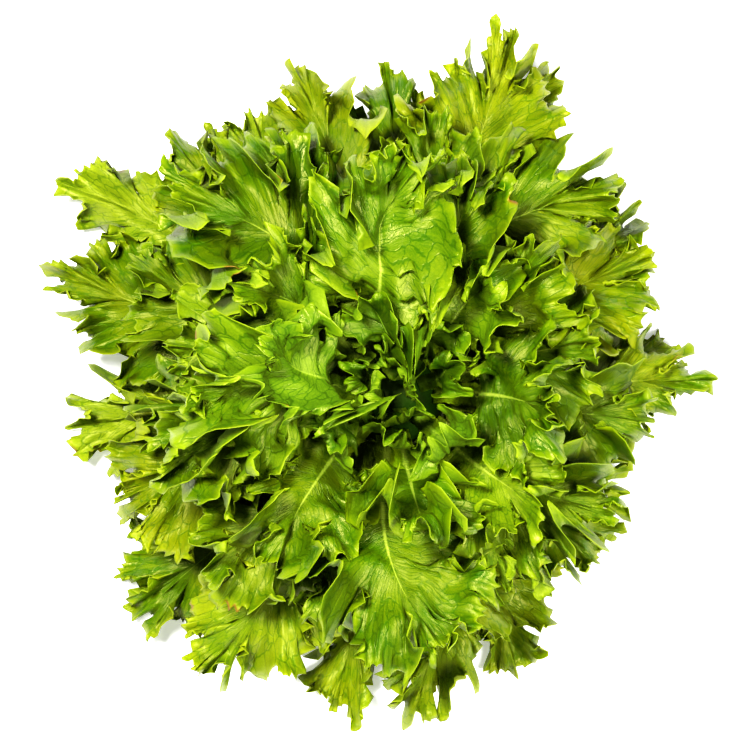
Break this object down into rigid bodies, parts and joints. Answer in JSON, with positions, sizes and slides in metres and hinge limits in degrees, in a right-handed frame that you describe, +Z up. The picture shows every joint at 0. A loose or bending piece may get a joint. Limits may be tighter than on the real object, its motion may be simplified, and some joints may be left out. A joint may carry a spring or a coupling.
{
  "type": "head of frisee",
  "caption": "Loose head of curly endive: a short cut stem with lobed, toothed and waved leaves that arch outward around a small heart.",
  "frame": {"origin": "middle of the stem's cut face, which is the underside", "axes": "+Z up out of the stem towards the heart; +X to the right and +Y to the top as the picture shows the head from above"},
  "size_m": [0.2785, 0.2878, 0.1215],
  "materials": {
    "heart_leaf_01": "satin leaf, yellow-green",
    "heart_leaf_02": "satin leaf, yellow-green",
    "heart_leaf_03": "satin leaf, yellow-green",
    "heart_leaf_04": "satin leaf, yellow-green",
    "heart_leaf_05": "satin leaf, yellow-green",
    "heart_leaf_06": "satin leaf, yellow-green",
    "heart_leaf_07": "satin leaf, yellow-green",
    "heart_leaf_08": "satin leaf, yellow-green",
    "heart_leaf_09": "satin leaf, yellow-green",
    "heart_leaf_10": "satin leaf, yellow-green",
    "heart_leaf_11": "satin leaf, yellow-green",
    "heart_leaf_12": "satin leaf, yellow-green",
    "heart_leaf_13": "satin leaf, yellow-green",
    "inner_leaf_01": "satin leaf, yellow-green",
    "inner_leaf_02": "satin leaf, yellow-green",
    "inner_leaf_03": "satin leaf, yellow-green",
    "inner_leaf_04": "satin leaf, yellow-green",
    "inner_leaf_05": "satin leaf, yellow-green",
    "inner_leaf_06": "satin leaf, yellow-green",
    "middle_leaf_01": "satin leaf, yellow-green",
    "middle_leaf_02": "satin leaf, yellow-green",
    "middle_leaf_03": "satin leaf, yellow-green",
    "middle_leaf_04": "satin leaf, yellow-green",
    "middle_leaf_05": "satin leaf, yellow-green",
    "middle_leaf_06": "satin leaf, yellow-green",
    "middle_leaf_07": "satin leaf, yellow-green",
    "middle_leaf_08": "satin leaf, yellow-green",
    "middle_leaf_09": "satin leaf, yellow-green",
    "middle_leaf_10": "satin leaf, yellow-green",
    "middle_leaf_11": "satin leaf, yellow-green",
    "middle_leaf_12": "satin leaf, yellow-green",
    "middle_leaf_13": "satin leaf, yellow-green",
    "middle_leaf_14": "satin leaf, yellow-green",
    "middle_leaf_15": "satin leaf, yellow-green",
    "middle_leaf_16": "satin leaf, yellow-green",
    "middle_leaf_17": "satin leaf, yellow-green",
    "middle_leaf_18": "satin leaf, yellow-green",
    "middle_leaf_19": "satin leaf, yellow-green",
    "outer_leaf_01": "satin leaf, yellow-green",
    "outer_leaf_02": "satin leaf, yellow-green",
    "outer_leaf_03": "satin leaf, yellow-green",
    "outer_leaf_04": "satin leaf, yellow-green",
    "outer_leaf_05": "satin leaf, yellow-green",
    "outer_leaf_06": "satin leaf, yellow-green",
    "outer_leaf_07": "satin leaf, yellow-green",
    "outer_leaf_08": "satin leaf, yellow-green",
    "outer_leaf_09": "satin leaf, yellow-green",
    "outer_leaf_10": "satin leaf, yellow-green",
    "outer_leaf_11": "satin leaf, yellow-green",
    "outer_leaf_12": "satin leaf, yellow-green",
    "outer_leaf_13": "satin leaf, yellow-green",
    "outer_leaf_14": "satin leaf, yellow-green",
    "outer_leaf_15": "satin leaf, yellow-green",
    "outer_leaf_16": "satin leaf, yellow-green",
    "outer_leaf_17": "satin leaf, yellow-green",
    "outer_leaf_18": "satin leaf, yellow-green",
    "outer_leaf_19": "satin leaf, yellow-green",
    "outer_leaf_20": "satin leaf, yellow-green",
    "outer_leaf_21": "satin leaf, yellow-green",
    "stem": "matte, pale"
  },
  "bodies": {
    "root": {"heart_leaf_01": "heart_leaf_01", "heart_leaf_02": "heart_leaf_02", "heart_leaf_03": "heart_leaf_03", "heart_leaf_04": "heart_leaf_04", "heart_leaf_05": "heart_leaf_05", "heart_leaf_06": "heart_leaf_06", "heart_leaf_07": "heart_leaf_07", "heart_leaf_08": "heart_leaf_08", "heart_leaf_09": "heart_leaf_09", "heart_leaf_10": "heart_leaf_10", "heart_leaf_11": "heart_leaf_11", "heart_leaf_12": "heart_leaf_12", "heart_leaf_13": "heart_leaf_13", "inner_leaf_01": "inner_leaf_01", "inner_leaf_02": "inner_leaf_02", "inner_leaf_03": "inner_leaf_03", "inner_leaf_04": "inner_leaf_04", "inner_leaf_05": "inner_leaf_05", "inner_leaf_06": "inner_leaf_06", "middle_leaf_01": "middle_leaf_01", "middle_leaf_02": "middle_leaf_02", "middle_leaf_03": "middle_leaf_03", "middle_leaf_04": "middle_leaf_04", "middle_leaf_05": "middle_leaf_05", "middle_leaf_06": "middle_leaf_06", "middle_leaf_07": "middle_leaf_07", "middle_leaf_08": "middle_leaf_08", "middle_leaf_09": "middle_leaf_09", "middle_leaf_10": "middle_leaf_10", "middle_leaf_11": "middle_leaf_11", "middle_leaf_12": "middle_leaf_12", "middle_leaf_13": "middle_leaf_13", "middle_leaf_14": "middle_leaf_14", "middle_leaf_15": "middle_leaf_15", "middle_leaf_16": "middle_leaf_16", "middle_leaf_17": "middle_leaf_17", "middle_leaf_18": "middle_leaf_18", "middle_leaf_19": "middle_leaf_19", "outer_leaf_01": "outer_leaf_01", "outer_leaf_02": "outer_leaf_02", "outer_leaf_03": "outer_leaf_03", "outer_leaf_04": "outer_leaf_04", "outer_leaf_05": "outer_leaf_05", "outer_leaf_06": "outer_leaf_06", "outer_leaf_07": "outer_leaf_07", "outer_leaf_08": "outer_leaf_08", "outer_leaf_09": "outer_leaf_09", "outer_leaf_10": "outer_leaf_10", "outer_leaf_11": "outer_leaf_11", "outer_leaf_12": "outer_leaf_12", "outer_leaf_13": "outer_leaf_13", "outer_leaf_14": "outer_leaf_14", "outer_leaf_15": "outer_leaf_15", "outer_leaf_16": "outer_leaf_16", "outer_leaf_17": "outer_leaf_17", "outer_leaf_18": "outer_leaf_18", "outer_leaf_19": "outer_leaf_19", "outer_leaf_20": "outer_leaf_20", "outer_leaf_21": "outer_leaf_21", "stem": "stem"}
  },
  "joints": []
}
